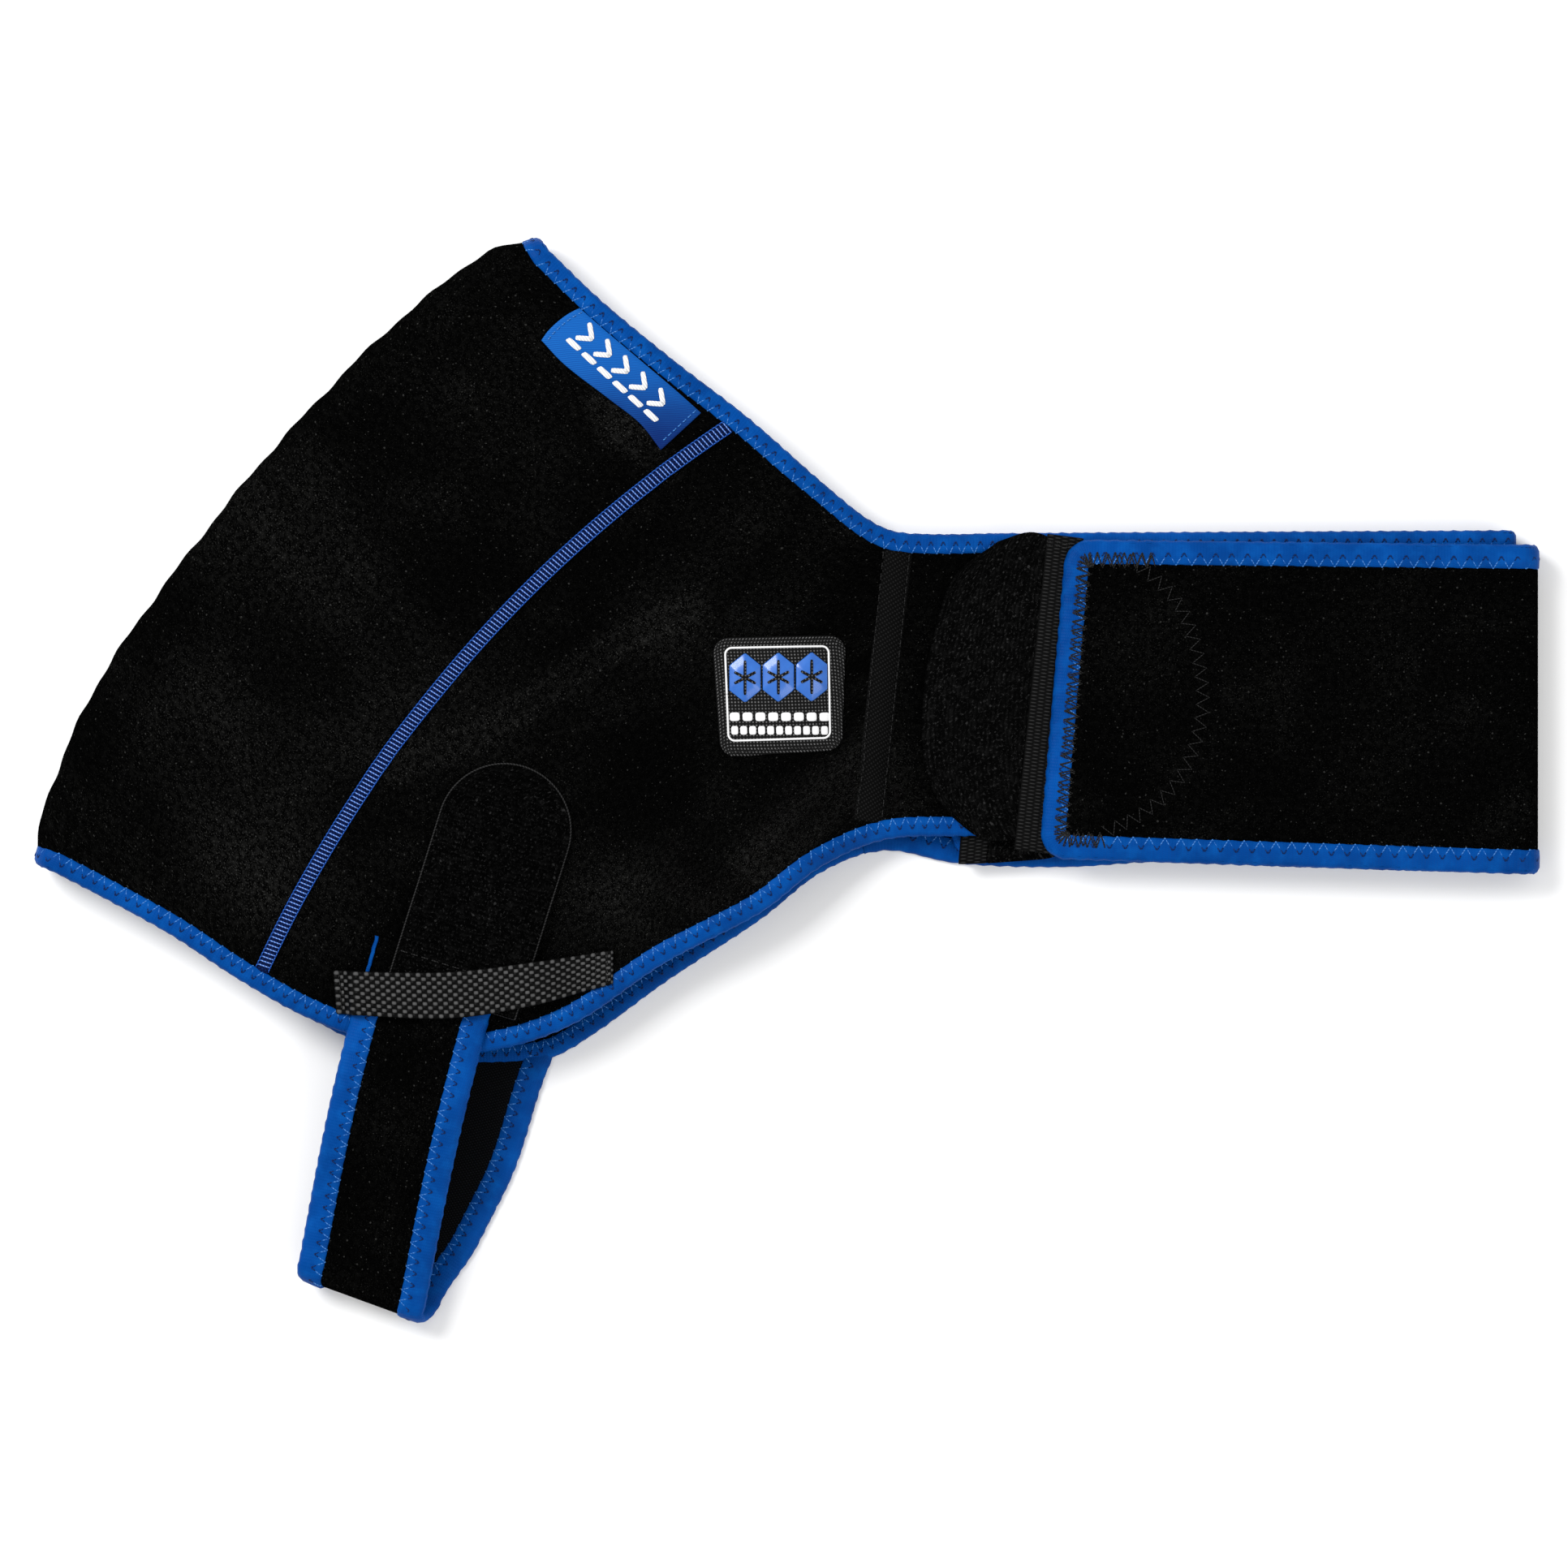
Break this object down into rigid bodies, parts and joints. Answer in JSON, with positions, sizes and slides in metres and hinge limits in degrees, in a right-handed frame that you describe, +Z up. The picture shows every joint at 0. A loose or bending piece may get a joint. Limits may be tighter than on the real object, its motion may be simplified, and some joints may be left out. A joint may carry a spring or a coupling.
{
  "type": "cold compression wrap",
  "caption": "Shoulder cold wrap of black plush neoprene with blue elastic binding, folded flat, with hook pads, an arm strap loop and gel packs in inner pockets.",
  "frame": {"origin": "on the table under the middle of the folded wrap", "axes": "+X along the chest strap towards its fold, +Y towards the neck edge, +Z up out of the front half"},
  "size_m": [0.592, 0.4246, 0.0314],
  "materials": {
    "plush_neoprene": "brushed",
    "elastic_binding": "satin",
    "seam_thread": "satin",
    "ribbed_tape": "matte",
    "hook_tape": "matte",
    "brushed_pad": "brushed",
    "gel_film": "gloss",
    "pocket_jersey": "matte",
    "webbing": "satin",
    "badge_mesh": "matte",
    "badge_relief": "gloss",
    "label_satin": "satin"
  },
  "bodies": {
    "wrap": {"rear_cap_panel": "plush_neoprene", "rear_body_panel": "plush_neoprene", "rear_neck_binding": "elastic_binding", "rear_lower_binding": "elastic_binding", "rear_seam_thread": "seam_thread", "rear_joint_tape": "ribbed_tape", "rear_strap_lower_run": "plush_neoprene", "rear_strap_fold": "plush_neoprene", "cap_crease": "plush_neoprene", "front_cap_panel": "plush_neoprene", "front_body_panel": "plush_neoprene", "front_neck_binding": "elastic_binding", "front_lower_binding": "elastic_binding", "front_seam_thread": "seam_thread", "front_joint_tape": "ribbed_tape", "front_chest_strap": "plush_neoprene", "front_hook_pad": "brushed_pad", "front_pad_tape": "ribbed_tape", "rear_pocket_liner": "pocket_jersey", "front_pocket_liner": "pocket_jersey", "arm_strap_rear_leg": "plush_neoprene", "arm_strap_bend": "plush_neoprene", "arm_strap_front_leg": "plush_neoprene", "arm_rear_binding": "elastic_binding", "arm_bend_binding": "elastic_binding", "arm_front_binding": "elastic_binding", "arm_tab_sewn": "brushed_pad", "webbing_keeper": "webbing", "badge_patch": "badge_mesh", "badge_motif": "badge_relief", "woven_label": "label_satin"},
    "chest_strap": {"strap_top_run": "plush_neoprene", "strap_top_binding": "elastic_binding", "chest_pad_sewn": "brushed_pad", "chest_pad_tape": "ribbed_tape"},
    "chest_pad": {"chest_hook_pad": "brushed_pad", "chest_hook_field": "hook_tape"},
    "arm_tab": {"arm_tab_flap": "brushed_pad", "arm_tab_hooks": "hook_tape"},
    "front_pack": {"front_gel_pack": "gel_film"},
    "rear_pack": {"rear_gel_pack": "gel_film"}
  },
  "joints": [
    {"name": "chest_strap_unfold", "type": "hinge", "parent": "wrap", "child": "chest_strap", "pos_m": [0.30134, 0.029, 0.00935], "axis": [0, 1, 0], "range_deg": [0, 165], "deforming": ["rear_strap_fold"]},
    {"name": "chest_pad_peel", "type": "hinge", "parent": "chest_strap", "child": "chest_pad", "pos_m": [0.09685, 0.037, 0.0157], "axis": [0.1029, 0.9947, 0], "range_deg": [0, 60]},
    {"name": "arm_tab_peel", "type": "hinge", "parent": "wrap", "child": "arm_tab", "pos_m": [-0.125, -0.07, 0.0303], "axis": [0.9983, 0.0589, 0], "range_deg": [0, 110]},
    {"name": "front_pack_slide", "type": "slide", "parent": "wrap", "child": "front_pack", "axis": [0.6374, 0.7705, 0], "range_m": [0, 0.2]},
    {"name": "rear_pack_slide", "type": "slide", "parent": "wrap", "child": "rear_pack", "axis": [0.6374, 0.7705, 0], "range_m": [0, 0.2]}
  ]
}
